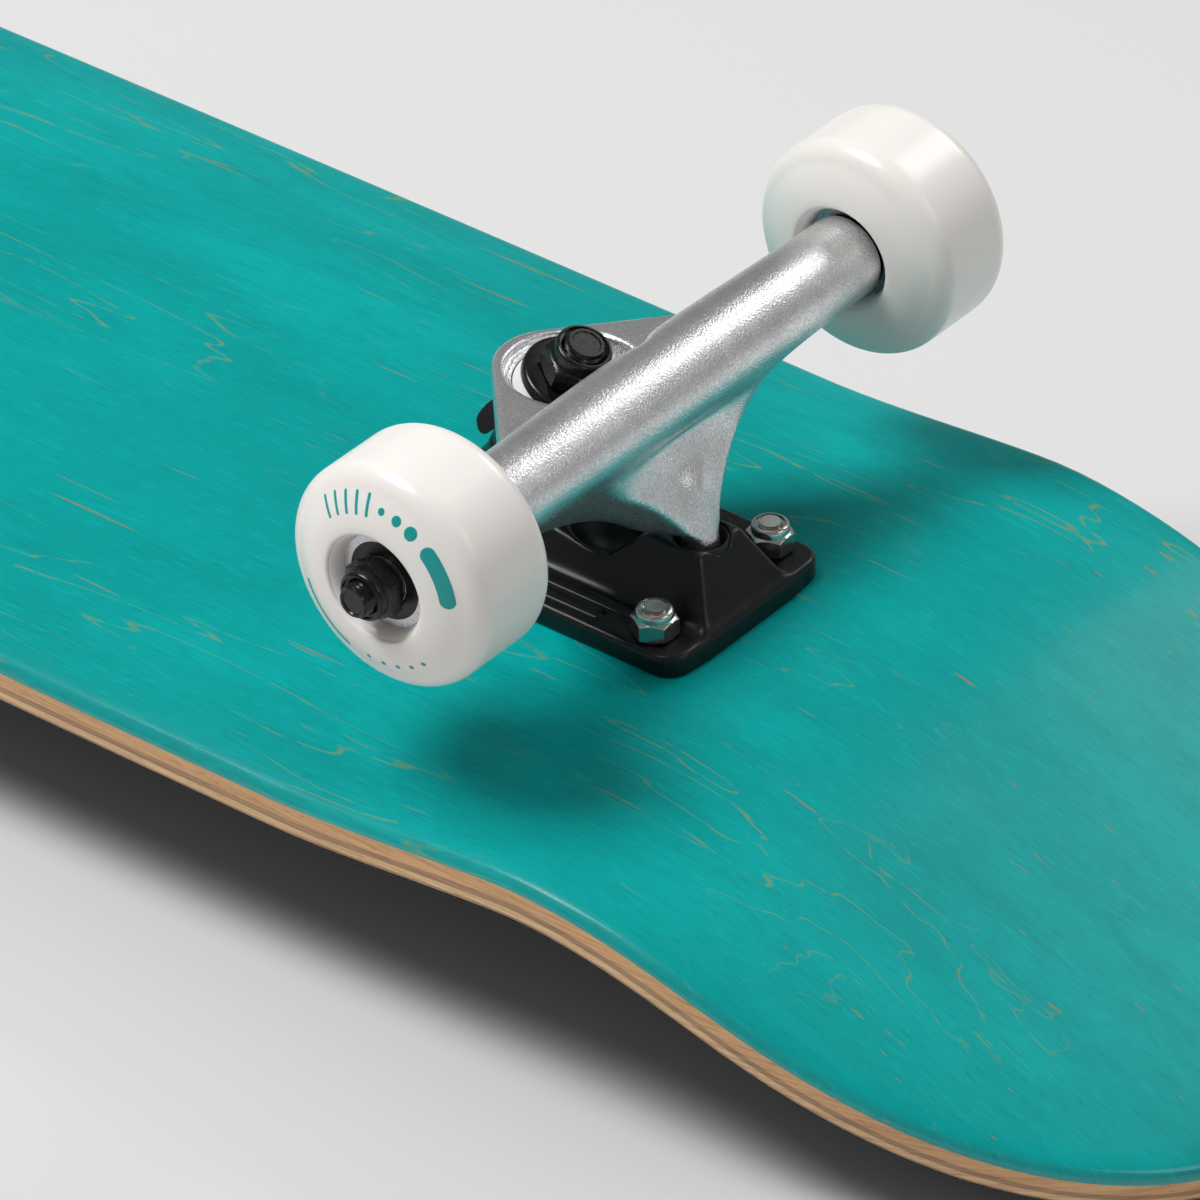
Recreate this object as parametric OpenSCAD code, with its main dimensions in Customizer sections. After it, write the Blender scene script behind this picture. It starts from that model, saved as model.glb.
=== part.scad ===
// Complete street skateboard, stored wheels up on its nose and tail tips.
// X runs along the board, Y across it, Z up. The floor is z = 0 and the middle of the board is x = 0, y = 0.
// Each truck is drawn in its own frame: origin on the deck under the middle of the base plate,
// +X towards the nearer end of the board, +Z away from the deck.

/* [Deck] */
// Thickness of the glued maple deck
deck_t = 11; // [10:0.5:12]
// Thickness of the grip tape
grip_t = 0.9; // [0.6:0.1:1.2]
// Half width of the deck at its middle
deck_half_w = 102.6; // [98:0.2:108]
// Loss of half width from the middle to a truck
waist = 1.6; // [0:0.2:3]
// Length along the deck from its middle to a tip
half_run = 419; // [405:1:430]
// Length of the rounded end outline
tip_run = 130; // [110:1:150]
// Distance past the truck centre where the kick starts
kick_start = 45; // [40:1:60]
// Bend radius of the kick
kick_r = 165; // [140:1:200]
// Angle of the kick
kick_angle = 21; // [16:0.5:24]
// Half width of the flat strip along the middle
flat_half_w = 30; // [28:1:34]
// Drop of the side rails between the trucks
concave_mid = 9; // [5:0.5:10]
// Drop of the side rails on the kicks
concave_kick = 3.5; // [2:0.5:5]

/* [Trucks] */
// Distance from the middle of the board to each truck centre
truck_x = 208; // [195:1:210]
// Bolt spacing along the board
bolt_x = 53.9; // [53:0.1:55]
// Bolt spacing across the board
bolt_y = 41.3; // [41:0.1:42]
// Axle offset from the truck centre, towards the end
axle_x = 12; // [11:0.2:13]
// Height of the axle above the deck
axle_z = 53; // [52.6:0.2:54]
// Half length of the axle
axle_half = 103.7; // [103.2:0.1:105]
// Radius of the axle
axle_r = 3.97; // [3.9:0.01:4]
// Half width of the hanger
hanger_half = 68; // [67.5:0.1:68.5]
// Lean of the kingpin from upright
kingpin_lean = 22.5; // [21:0.5:24]
// Radius of the kingpin
kingpin_r = 4.76; // [4.6:0.02:4.8]

/* [Wheels] */
// Outer radius of a wheel
wheel_r = 26.5; // [25:0.5:27]
// Width of a wheel
wheel_w = 32; // [31:0.5:33]
// Width of the flat tread
tread_w = 16; // [15:0.5:17]

/* [Bearings] */
// Outer radius of a bearing
bearing_r = 11; // [10.98:0.01:11.02]
// Width of a bearing
bearing_w = 7; // [6.9:0.05:7.1]
// Number of balls in a bearing
ball_count = 7; // [6:1:8]

/* [Hidden] */
$fn = 64;

FRONT = 1;
REAR = -1;
LEFT = 1;
RIGHT = -1;

// Deck outline and bend
kick_u = truck_x + kick_start;
straight_u = kick_u + kick_r * kick_angle * PI / 180;
concave_from = truck_x - 18;
concave_to = truck_x + 60;
tip_u = half_run - tip_run;
tip_power = 2.5;
tip_root = 2.4;
edge_round = 1.6;

// Height of the deck's upward face above the floor, with the tips of the grip tape on the floor
tip_drop = kick_r * (1 - cos(kick_angle)) + (half_run - straight_u) * sin(kick_angle);
deck_h = tip_drop + (deck_t + grip_t) * cos(kick_angle);

// Base plate
flange_t = 5.6;
plate_in = -42;
plate_out = 37.5;
plate_half_w = 27.5;
plate_corner_r = 6;
housing_z = 19.3;
bolt_r = 2.38;
bolt_hole_r = 2.75;

// Kingpin stack, as distances along the kingpin from the deck
kingpin_x = -31.3;
head_from = 4;
head_to = 10;
seat_t = 25;
cup_web = 1.6;
lower_bushing_to = 37.6;
upper_bushing_from = 41.6;
upper_bushing_to = 49.2;
upper_washer_to = 50.8;
kingpin_nut_to = 60.2;
kingpin_to = 62;
ring_top = 44.4;
bushing_r = 12;
lower_bushing_r = 11.2;
lower_washer_r = 11;

// Pivot: the ball on the hanger's leg turns in the cup
pivot_x = 23.5;
pivot_z = 13.5;
ball_end_r = 4.7;
leg_r = 4.5;
leg_lean = 21;
pivot_cup_r = 6.4;
pivot_cup_z = 18.6;

// Stack along the axle, as distances from the middle of the truck
washer_t = 1;
inner_bearing = hanger_half + washer_t;
wheel_y = inner_bearing + bearing_w + 5;
outer_bearing = wheel_y + 5;
outer_washer = outer_bearing + bearing_w;
nut_from = outer_washer + washer_t;
nut_h = 7.3;

// Rounded shoulders of a wheel: size along its radius and along its width
shoulder_r = 6;
shoulder_w = 5.3;

// Bearing details
bearing_bore_r = 4;
pitch_r = 7.5;
ball_r = 1.985;
groove_r = 2.03;

// Position on the middle line of the upward face at run u: [x, z, slope angle]
function bend(u) =
  u < kick_u ? [u, 0, 0] :
  u < straight_u ? let(a = (u - kick_u) / kick_r * 180 / PI)
    [kick_u + kick_r * sin(a), -kick_r * (1 - cos(a)), a] :
  let(d = u - straight_u)
    [kick_u + kick_r * sin(kick_angle) + d * cos(kick_angle),
     -kick_r * (1 - cos(kick_angle)) - d * sin(kick_angle), kick_angle];

// Smooth step from 0 to 1
function ease(t) = let(c = min(max(t, 0), 1)) c * c * (3 - 2 * c);

// Drop of the side rails at run u
function rail_drop(u) =
  concave_mid + (concave_kick - concave_mid) * ease((u - concave_from) / (concave_to - concave_from));

// Half width at run u
function half_w(u) =
  let(w = deck_half_w - waist * pow(u / truck_x, 2), t = max(u - tip_u, 0) / tip_run)
  w * pow(1 - pow(t, tip_power), 1 / tip_root);

// Drop of the face at distance y from the middle line
function dish(u, y) = rail_drop(u) * pow(max(abs(y) - flat_half_w, 0) / (deck_half_w - flat_half_w), 2);

// Point at signed run u, across y and depth h below the upward face
function skin(u, y, h) =
  let(b = bend(abs(u)), d = h + dish(abs(u), y))
  [sign(u) * (b[0] - d * sin(b[2])), y, deck_h + b[1] - d * cos(b[2])];

// Places across the face, from the right edge to the left
function spread(w, inset) =
  let(e = w - min(inset, w * 0.3), half = [0, 0.292, 0.5, 0.72, 0.88, 1])
  concat([for (i = [5:-1:0]) -e * half[i]], [for (i = [1:5]) e * half[i]]);

// Closed ring of points round a layer of the deck at run u, from depth h0 to h1.
// Its faces stop edge_round short of the outline, and its sides stand out by bulge from there.
function slab_ring(u, h0, h1, bulge) =
  let(w = half_w(abs(u)), ys = spread(w, edge_round), e = min(ys[10] + bulge, w),
      mid = [h0 + min(bulge, (h1 - h0) / 2), h1 - min(bulge, (h1 - h0) / 2)])
  concat(
    [for (y = ys) skin(u, y, h0)],
    [for (h = mid) skin(u, e, h)],
    [for (i = [len(ys) - 1:-1:0]) skin(u, ys[i], h1)],
    [for (i = [1, 0]) skin(u, -e, mid[i])]);

// Runs at which the deck's rings stand
tip_steps = 11;
tip_end = 0.02;
tip_runs = [for (i = [1:tip_steps])
  tip_u + tip_run * (1 - pow(1 - i / tip_steps, 2)) - (i == tip_steps ? tip_end : 0)];
half_runs = concat([0, 90, 172], [for (u = [190:9:tip_u - 6]) u], [tip_u], tip_runs);
runs = concat([for (i = [len(half_runs) - 1:-1:1]) -half_runs[i]], half_runs);

// Solid skinned over rings of equal length, each made of two faces and two points on each edge
module loft(rings) {
  n = len(rings[0]);
  last = len(rings) - 1;
  points = [for (r = rings) each r];
  sides = [for (i = [0:last - 1], j = [0:n - 1])
    let(a = i * n + j, b = i * n + (j + 1) % n)
    each j < n / 2 ? [[a, b, b + n], [a, b + n, a + n]] : [[a, b, a + n], [b, b + n, a + n]]];
  face_n = (n - 4) / 2;
  strips = concat(
    [for (j = [0:face_n - 2]) [j, j + 1, n - 4 - j, n - 3 - j]],
    [[face_n - 1, face_n, face_n + 1, face_n + 2], [n - 3, n - 2, n - 1, 0]]);
  first_cap = [for (q = strips) each [[q[2], q[1], q[0]], [q[3], q[2], q[0]]]];
  last_cap = [for (q = strips) each [[q[0], q[1], q[2]], [q[0], q[2], q[3]]]];
  far = [for (t = last_cap) [for (i = t) last * n + i]];
  polyhedron(points, concat(sides, first_cap, far), convexity = 6);
}

// Places a child in the frame of one truck
module on_truck(end) {
  translate([end * truck_x, 0, deck_h]) rotate(end == FRONT ? 0 : 180) children();
}

// Left and right are named from the whole board, so they swap inside the rear truck's frame
module on_wheel(end, side) {
  on_truck(end) translate([axle_x, end * side * wheel_y, axle_z])
    rotate([-90 * end * side, 0, 0]) children();
}

// Distance t along the kingpin, with Z along it
module on_kingpin(t) {
  translate([kingpin_x, 0, 0]) rotate([0, kingpin_lean, 0]) translate([0, 0, t]) children();
}

// Distance y along the axle, with Z along it
module on_axle(y) {
  translate([axle_x, y, axle_z]) rotate([-90, 0, 0]) children();
}

// Both ends of the axle, with Z pointing outwards
module both_ends() {
  for (s = [-1, 1]) translate([axle_x, 0, axle_z]) rotate([-90 * s, 0, 0]) children();
}

module at_bolts() {
  for (x = [-1, 1], y = [-1, 1]) translate([x * bolt_x / 2, y * bolt_y / 2, 0]) children();
}

// Outline in X and Z pulled w wide across Y
module across(w) {
  rotate([90, 0, 0]) linear_extrude(w, center = true) children();
}

module tube(outer, inner, h) {
  difference() {
    cylinder(r = outer, h = h);
    translate([0, 0, -1]) cylinder(r = inner, h = h + 2);
  }
}

// Rounded rectangle from a plain cross of boxes and four corner cylinders
module rounded_slab(x0, x1, half, r, h) {
  translate([x0 + r, -half, 0]) cube([x1 - x0 - 2 * r, 2 * half, h]);
  translate([x0, r - half, 0]) cube([x1 - x0, 2 * (half - r), h]);
  for (x = [x0 + r, x1 - r], y = [r - half, half - r]) translate([x, y, 0]) cylinder(r = r, h = h);
}

// Holes through the deck with a countersink on the grip side
bolt_head_r = 4.7;
bolt_head_h = 2.6;
head_face = -deck_t - grip_t + 0.3;

module deck() {
  color("darkcyan") difference() {
    loft([for (u = runs) slab_ring(u, 0, deck_t, edge_round)]);
    for (end = [FRONT, REAR]) on_truck(end) at_bolts() {
      translate([0, 0, -deck_t - 1]) cylinder(r = bolt_hole_r, h = deck_t + 2);
      translate([0, 0, head_face - 0.2])
        cylinder(r1 = bolt_head_r + 0.25, r2 = bolt_r, h = bolt_head_h + 0.3);
    }
  }
}

module grip_tape() {
  color("dimgray") difference() {
    loft([for (u = runs) slab_ring(u, deck_t, deck_t + grip_t, 0.3)]);
    for (end = [FRONT, REAR]) on_truck(end) at_bolts()
      translate([0, 0, -deck_t - grip_t - 1]) cylinder(r = bolt_head_r + 0.4, h = grip_t + 2);
  }
}

// Cast base plate: flange, kingpin boss, side walls and pivot housing
module baseplate() {
  boss_r = 11;
  color("#1c1c1e") difference() {
    union() {
      rounded_slab(plate_in, plate_out, plate_half_w, plate_corner_r, flange_t);
      intersection() {
        across(2 * plate_half_w)
          polygon([[-41, 0], [-41, 10], [-35, 20], [-8, 13], [6, 12], [14, housing_z],
                   [28.9, housing_z], [36.4, flange_t], [36.4, 0]]);
        rotate([0, 0, 90]) rotate([90, 0, 0]) linear_extrude(90, center = true)
          polygon([[-15, 0], [-15, 5], [-7.6, housing_z], [-7, 30],
                   [7, 30], [7.6, housing_z], [15, 5], [15, 0]]);
      }
      intersection() {
        on_kingpin(-6) cylinder(r = boss_r, h = seat_t + 6);
        translate([-41.5, -20, 0]) cube([60, 40, 40]);
      }
      for (s = [-1, 1], k = [0, 1])
        translate([-15, s * (18.5 + 4 * k), flange_t]) rib(k == 0 ? 30 : 22);
    }
    at_bolts() translate([0, 0, -1]) cylinder(r = bolt_hole_r, h = flange_t + 2);
    at_bolts() translate([0, 0, flange_t]) cylinder(r = 6.3, h = 20);
    on_kingpin(-10) cylinder(r = kingpin_r + 0.04, h = 50);
    on_kingpin(head_to) rotate([180, 0, 0]) cylinder(r = 8.4, h = 30, $fn = 6);
    translate([pivot_x, 0, 6]) cylinder(r = pivot_cup_r + 0.02, h = 30);
    translate([-9, -5.5, 4]) cube([21, 11, 30]);
  }
}

// Low rib with round ends
module rib(run) {
  rounded_slab(0, run, 1, 0.98, 0.9);
}

// Urethane cup that the pivot ball turns in
module pivot_cup() {
  color("#2a2a2c") translate([pivot_x, 0, 0]) difference() {
    translate([0, 0, 6]) cylinder(r = pivot_cup_r, h = pivot_cup_z - 6);
    translate([0, 0, pivot_z]) sphere(r = ball_end_r + 0.06);
    translate([0, 0, pivot_z]) cylinder(r1 = ball_end_r + 0.06, r2 = 6, h = pivot_cup_z - pivot_z + 0.01);
  }
}

module kingpin() {
  color("#222224") {
    on_kingpin(head_from) cylinder(r = 8.2, h = head_to - head_from, $fn = 6);
    on_kingpin(head_to) cylinder(r = kingpin_r, h = kingpin_to - head_to - 0.6);
    on_kingpin(kingpin_to - 0.6) cylinder(r1 = kingpin_r, r2 = kingpin_r - 0.6, h = 0.6);
  }
}

// Lock nut: hexagon, washer face below and a round collar above
module lock_nut(flats, hex_h, full_h, bore, face_r) {
  difference() {
    union() {
      translate([0, 0, 0.6]) cylinder(d = flats / cos(30), h = hex_h - 0.6, $fn = 6);
      cylinder(r = face_r, h = 0.7);
      translate([0, 0, hex_h]) cylinder(r1 = flats * 0.46, r2 = flats * 0.42, h = full_h - hex_h);
    }
    translate([0, 0, -1]) cylinder(r = bore, h = full_h + 2);
  }
}

module kingpin_nut() {
  color("#222224") on_kingpin(upper_washer_to)
    lock_nut(14.3, 6.4, kingpin_nut_to - upper_washer_to, kingpin_r + 0.03, 7.1);
}

// Cup washer: a disc with a rim on one face
module cup_washer(outer, web, rim) {
  difference() {
    cylinder(r = outer, h = web + rim);
    translate([0, 0, web]) cylinder(r1 = outer - 1.3, r2 = outer - 0.7, h = rim + 0.01);
    translate([0, 0, -1]) cylinder(r = kingpin_r + 0.25, h = web + rim + 2);
  }
}

module top_washer() {
  color("#222224") on_kingpin(upper_washer_to) rotate([180, 0, 0]) cup_washer(11.3, cup_web, 1.3);
}

module bottom_washer() {
  color("#222224") on_kingpin(seat_t) cup_washer(lower_washer_r, cup_web, 2.8);
}

// Cone bushing: cylinder in the ring's seat, cone above it
module top_bushing() {
  color("white") on_kingpin(upper_bushing_from) difference() {
    union() {
      cylinder(r = bushing_r, h = 3);
      translate([0, 0, 3]) cylinder(r1 = bushing_r, r2 = 9.9, h = upper_bushing_to - upper_bushing_from - 3);
    }
    translate([0, 0, -1]) cylinder(r = kingpin_r + 0.15, h = 20);
  }
}

// Barrel bushing: narrow in the cup of the washer, wide under the ring
module bottom_bushing() {
  foot_r = lower_washer_r - 1.5;
  color("white") on_kingpin(seat_t + cup_web) difference() {
    union() {
      cylinder(r = foot_r, h = 3);
      translate([0, 0, 3]) cylinder(r1 = foot_r, r2 = lower_bushing_r, h = 3.5);
      translate([0, 0, 6.5]) cylinder(r = lower_bushing_r, h = lower_bushing_to - seat_t - cup_web - 6.5);
    }
    translate([0, 0, -1]) cylinder(r = kingpin_r + 0.15, h = 20);
  }
}

// Outline from above of the wedge round the bushings: round nose, sides opening towards the tube
module wedge_outline() {
  nose_x = -17.5;
  nose_r = 13;
  opening = 48;
  half = 41;
  side_run = (half - nose_r * cos(opening)) / sin(opening);
  end_x = nose_x - nose_r * sin(opening) + side_run * cos(opening);
  polygon(concat(
    [for (a = [90 + opening:12:270 - opening]) [nose_x + nose_r * cos(a), nose_r * sin(a)]],
    [[end_x, -half], [40, -half], [40, half], [end_x, half]]));
}

// Half width of the web between the tube and the leg, at height z
function web_half(z) = 5 + 41 * pow(max(z - 18, 0) / 25, 1.3);

// Wedge round the bushings and web down to the leg, with the spot face for the top washer
module hanger_web() {
  difference() {
    intersection() {
      across(100)
        polygon([[-31, 48.4], [-31, 43.1], [-5, 32.3], [-2, 37], [7.5, 38], [17.5, 23.5], [18.5, 21.5],
                 [25.2, 21.5], [16.5, 44.5], [16.5, 48.4]]);
      linear_extrude(80) wedge_outline();
      translate([-40, 0, 0]) rotate([0, 0, 90]) rotate([90, 0, 0]) linear_extrude(80)
        polygon(concat(
          [for (z = [20:4:44]) [web_half(z), z]], [[46, 60], [-46, 60]],
          [for (z = [44:-4:20]) [-web_half(z), z]]));
    }
    on_kingpin(ring_top) cylinder(r = 14.6, h = 30);
  }
}

module hanger() {
  color("silver") difference() {
    union() {
      difference() {
        on_axle(0) rotate_extrude() polygon([
          [0, -hanger_half], [9.4, -hanger_half], [10, 0.8 - hanger_half], [10.6, -22], [10.6, 22],
          [10, hanger_half - 0.8], [9.4, hanger_half], [0, hanger_half]]);
        on_kingpin(ring_top) cylinder(r = 11.4, h = 30);
      }
      hanger_web();
      on_kingpin(36) cylinder(r = 13, h = ring_top - 36);
      translate([pivot_x, 0, pivot_z]) sphere(r = ball_end_r);
      translate([pivot_x, 0, pivot_z]) cylinder(r = leg_r, h = 4.4);
      translate([pivot_x - 0.2, 0, pivot_z + 4.7]) rotate([0, -leg_lean, 0]) cylinder(r = 4.7, h = 13);
    }
    on_axle(-hanger_half - 1) cylinder(r = axle_r + 0.02, h = 2 * hanger_half + 2);
    on_kingpin(upper_bushing_from) cylinder(r = bushing_r + 0.2, h = 9);
    on_kingpin(30) cylinder(r = lower_bushing_r + 0.2, h = lower_bushing_to - 30);
    on_kingpin(20) cylinder(r = 6.4, h = 30);
  }
}

module axle() {
  color("#3a3a3d") {
    on_axle(0.8 - axle_half) cylinder(r = axle_r, h = 2 * axle_half - 1.6);
    both_ends() translate([0, 0, axle_half - 0.8]) cylinder(r1 = axle_r, r2 = axle_r - 0.8, h = 0.8);
  }
}

// Flat-head bolts with a cross recess, heads in the grip side of the deck
module mounting_bolts() {
  tip = 12.9;
  color("#c8c9cc") at_bolts() difference() {
    union() {
      translate([0, 0, head_face]) cylinder(r1 = bolt_head_r, r2 = bolt_r, h = bolt_head_h);
      translate([0, 0, head_face + 1]) cylinder(r = bolt_r, h = tip - head_face - 1);
    }
    for (a = [0, 90]) translate([0, 0, head_face]) rotate(a) cube([4.6, 0.9, 2.6], center = true);
  }
}

module mounting_nuts() {
  color("#d8d9dc") at_bolts() translate([0, 0, flange_t]) lock_nut(9.53, 4.9, 7.1, bolt_r + 0.03, 4.6);
}

module axle_nuts() {
  color("#222224") both_ends() translate([0, 0, nut_from]) lock_nut(12.7, 5, nut_h, axle_r + 0.03, 6.2);
}

module speed_washers() {
  color("#c8c9cc") both_ends() {
    for (y = [hanger_half, outer_washer]) translate([0, 0, y]) tube(5.7, axle_r + 0.1, washer_t);
  }
}

module bearing_inner_rings() {
  color("#b9bbbf") both_ends() {
    for (y = [inner_bearing, outer_bearing]) translate([0, 0, y]) difference() {
      tube(5.8, bearing_bore_r, bearing_w);
      translate([0, 0, bearing_w / 2]) race();
    }
  }
}

// Round path of the balls
module race() {
  rotate_extrude() translate([pitch_r, 0]) circle(r = groove_r, $fn = 32);
}

// Both bearings of one wheel, with the wheel's middle at z = 0
module at_bearings() {
  for (s = [-1, 1]) rotate([s < 0 ? 180 : 0, 0, 0]) translate([0, 0, 5 + bearing_w / 2]) children();
}

// Section of a wheel: tread, round shoulder, sloping side, hub mouth, bearing seat, land
function half_section(s) = concat(
  [[8.4, 0], [8.4, s * 5], [bearing_r, s * 5], [bearing_r, s * 12.2], [12.3, s * (wheel_w / 2 - 0.6)],
   [13.1, s * wheel_w / 2], [14.5, s * (wheel_w / 2 - 0.1)]],
  [for (a = [20:10:90]) [wheel_r - shoulder_r * (1 - sin(a)), s * (tread_w / 2 + shoulder_w * cos(a))]]);

module wheel() {
  color("ivory") rotate_extrude($fn = 96)
    polygon(concat(half_section(1), [for (p = [14:-1:1]) half_section(-1)[p]]));
}

module bearing_outer_rings() {
  color("#b9bbbf") at_bearings() difference() {
    translate([0, 0, -bearing_w / 2]) tube(bearing_r - 0.01, 9.2, bearing_w);
    race();
  }
}

module bearing_shields() {
  color("#2c2c30") at_bearings() {
    for (z = [-3.4, 3.1]) translate([0, 0, z]) tube(9.19, 6.2, 0.3);
  }
}

module at_balls() {
  for (i = [0:ball_count - 1]) rotate(i * 360 / ball_count) translate([pitch_r, 0, 0]) children();
}

module bearing_balls() {
  color("#d0d2d6") at_bearings() at_balls() sphere(r = ball_r, $fn = 32);
}

// Crown cage: a ring with a pocket round each ball
module bearing_cages() {
  color("#d9c9a0") at_bearings() difference() {
    translate([0, 0, -2.9]) tube(8.5, 6.5, 3.7);
    at_balls() sphere(r = ball_r + 0.08, $fn = 32);
  }
}

module front_baseplate() { on_truck(FRONT) baseplate(); }
module front_pivot_cup() { on_truck(FRONT) pivot_cup(); }
module front_kingpin() { on_truck(FRONT) kingpin(); }
module front_kingpin_nut() { on_truck(FRONT) kingpin_nut(); }
module front_top_washer() { on_truck(FRONT) top_washer(); }
module front_bottom_washer() { on_truck(FRONT) bottom_washer(); }
module front_top_bushing() { on_truck(FRONT) top_bushing(); }
module front_bottom_bushing() { on_truck(FRONT) bottom_bushing(); }
module front_hanger() { on_truck(FRONT) hanger(); }
module front_axle() { on_truck(FRONT) axle(); }
module front_mounting_bolts() { on_truck(FRONT) mounting_bolts(); }
module front_mounting_nuts() { on_truck(FRONT) mounting_nuts(); }
module front_axle_nuts() { on_truck(FRONT) axle_nuts(); }
module front_speed_washers() { on_truck(FRONT) speed_washers(); }
module front_bearing_inner_rings() { on_truck(FRONT) bearing_inner_rings(); }
module front_left_wheel() { on_wheel(FRONT, LEFT) wheel(); }
module front_left_bearing_outer_rings() { on_wheel(FRONT, LEFT) bearing_outer_rings(); }
module front_left_bearing_shields() { on_wheel(FRONT, LEFT) bearing_shields(); }
module front_left_bearing_balls() { on_wheel(FRONT, LEFT) bearing_balls(); }
module front_left_bearing_cages() { on_wheel(FRONT, LEFT) bearing_cages(); }
module front_right_wheel() { on_wheel(FRONT, RIGHT) wheel(); }
module front_right_bearing_outer_rings() { on_wheel(FRONT, RIGHT) bearing_outer_rings(); }
module front_right_bearing_shields() { on_wheel(FRONT, RIGHT) bearing_shields(); }
module front_right_bearing_balls() { on_wheel(FRONT, RIGHT) bearing_balls(); }
module front_right_bearing_cages() { on_wheel(FRONT, RIGHT) bearing_cages(); }
module rear_baseplate() { on_truck(REAR) baseplate(); }
module rear_pivot_cup() { on_truck(REAR) pivot_cup(); }
module rear_kingpin() { on_truck(REAR) kingpin(); }
module rear_kingpin_nut() { on_truck(REAR) kingpin_nut(); }
module rear_top_washer() { on_truck(REAR) top_washer(); }
module rear_bottom_washer() { on_truck(REAR) bottom_washer(); }
module rear_top_bushing() { on_truck(REAR) top_bushing(); }
module rear_bottom_bushing() { on_truck(REAR) bottom_bushing(); }
module rear_hanger() { on_truck(REAR) hanger(); }
module rear_axle() { on_truck(REAR) axle(); }
module rear_mounting_bolts() { on_truck(REAR) mounting_bolts(); }
module rear_mounting_nuts() { on_truck(REAR) mounting_nuts(); }
module rear_axle_nuts() { on_truck(REAR) axle_nuts(); }
module rear_speed_washers() { on_truck(REAR) speed_washers(); }
module rear_bearing_inner_rings() { on_truck(REAR) bearing_inner_rings(); }
module rear_left_wheel() { on_wheel(REAR, LEFT) wheel(); }
module rear_left_bearing_outer_rings() { on_wheel(REAR, LEFT) bearing_outer_rings(); }
module rear_left_bearing_shields() { on_wheel(REAR, LEFT) bearing_shields(); }
module rear_left_bearing_balls() { on_wheel(REAR, LEFT) bearing_balls(); }
module rear_left_bearing_cages() { on_wheel(REAR, LEFT) bearing_cages(); }
module rear_right_wheel() { on_wheel(REAR, RIGHT) wheel(); }
module rear_right_bearing_outer_rings() { on_wheel(REAR, RIGHT) bearing_outer_rings(); }
module rear_right_bearing_shields() { on_wheel(REAR, RIGHT) bearing_shields(); }
module rear_right_bearing_balls() { on_wheel(REAR, RIGHT) bearing_balls(); }
module rear_right_bearing_cages() { on_wheel(REAR, RIGHT) bearing_cages(); }

deck();
grip_tape();
front_baseplate();
front_pivot_cup();
front_kingpin();
front_kingpin_nut();
front_top_washer();
front_bottom_washer();
front_top_bushing();
front_bottom_bushing();
front_hanger();
front_axle();
front_mounting_bolts();
front_mounting_nuts();
front_axle_nuts();
front_speed_washers();
front_bearing_inner_rings();
front_left_wheel();
front_left_bearing_outer_rings();
front_left_bearing_shields();
front_left_bearing_balls();
front_left_bearing_cages();
front_right_wheel();
front_right_bearing_outer_rings();
front_right_bearing_shields();
front_right_bearing_balls();
front_right_bearing_cages();
rear_baseplate();
rear_pivot_cup();
rear_kingpin();
rear_kingpin_nut();
rear_top_washer();
rear_bottom_washer();
rear_top_bushing();
rear_bottom_bushing();
rear_hanger();
rear_axle();
rear_mounting_bolts();
rear_mounting_nuts();
rear_axle_nuts();
rear_speed_washers();
rear_bearing_inner_rings();
rear_left_wheel();
rear_left_bearing_outer_rings();
rear_left_bearing_shields();
rear_left_bearing_balls();
rear_left_bearing_cages();
rear_right_wheel();
rear_right_bearing_outer_rings();
rear_right_bearing_shields();
rear_right_bearing_balls();
rear_right_bearing_cages();
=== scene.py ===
import math

import bmesh
import bpy
import numpy as np
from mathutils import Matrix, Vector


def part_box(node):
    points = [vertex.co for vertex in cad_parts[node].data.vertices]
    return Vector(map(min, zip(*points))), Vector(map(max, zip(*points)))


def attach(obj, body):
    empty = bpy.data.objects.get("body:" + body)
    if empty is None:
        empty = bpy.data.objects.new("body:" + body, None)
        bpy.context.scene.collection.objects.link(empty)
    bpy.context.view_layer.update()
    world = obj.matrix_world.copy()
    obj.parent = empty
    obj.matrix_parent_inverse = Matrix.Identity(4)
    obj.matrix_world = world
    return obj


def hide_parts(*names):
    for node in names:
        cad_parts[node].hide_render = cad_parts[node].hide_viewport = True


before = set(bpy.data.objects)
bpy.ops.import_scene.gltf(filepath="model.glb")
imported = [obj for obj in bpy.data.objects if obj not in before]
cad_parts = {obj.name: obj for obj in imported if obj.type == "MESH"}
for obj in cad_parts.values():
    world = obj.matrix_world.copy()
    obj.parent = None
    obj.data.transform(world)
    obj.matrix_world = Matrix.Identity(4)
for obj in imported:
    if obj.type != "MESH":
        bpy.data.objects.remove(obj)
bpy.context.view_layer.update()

import openvdb as vdb
from mathutils import Matrix, Vector

# The board's sizes are in millimetres; the camera, lights and materials are in metres. A truck's frame
# has its origin on the deck under the middle of the base plate, +X to the nearer end, +Z away from the deck.
MM = 0.001
DECK_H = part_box("front_baseplate")[0].z / MM
TRUCK_X = (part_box("front_mounting_nuts")[0].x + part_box("front_mounting_nuts")[1].x) / 2 / MM
ENDS = {"front": 1, "rear": -1}
SIDES = {"left": 1, "right": -1}

# Deck
DECK_T = 11
GRIP_T = 0.9
PLIES = 7
PLY_T = DECK_T / PLIES
DECK_HALF_W = 102.6
WAIST = 1.6
HALF_RUN = 419
TIP_U = 289
SPINE_U = 300
TIP_POWER = 2.5
TIP_ROOT = 2.4
KICK_U = TRUCK_X + 45
KICK_R = 165
KICK_ANGLE = math.radians(21)
FLAT_HALF_W = 30
RAIL_DROP = 9
KICK_RAIL_DROP = 3.5
RAIL_FROM = TRUCK_X - 18
RAIL_TO = TRUCK_X + 60
TOP_ROUND = 3.3
BOTTOM_ROUND = 1.6
STAIN_DEPTH = 2.6

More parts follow.
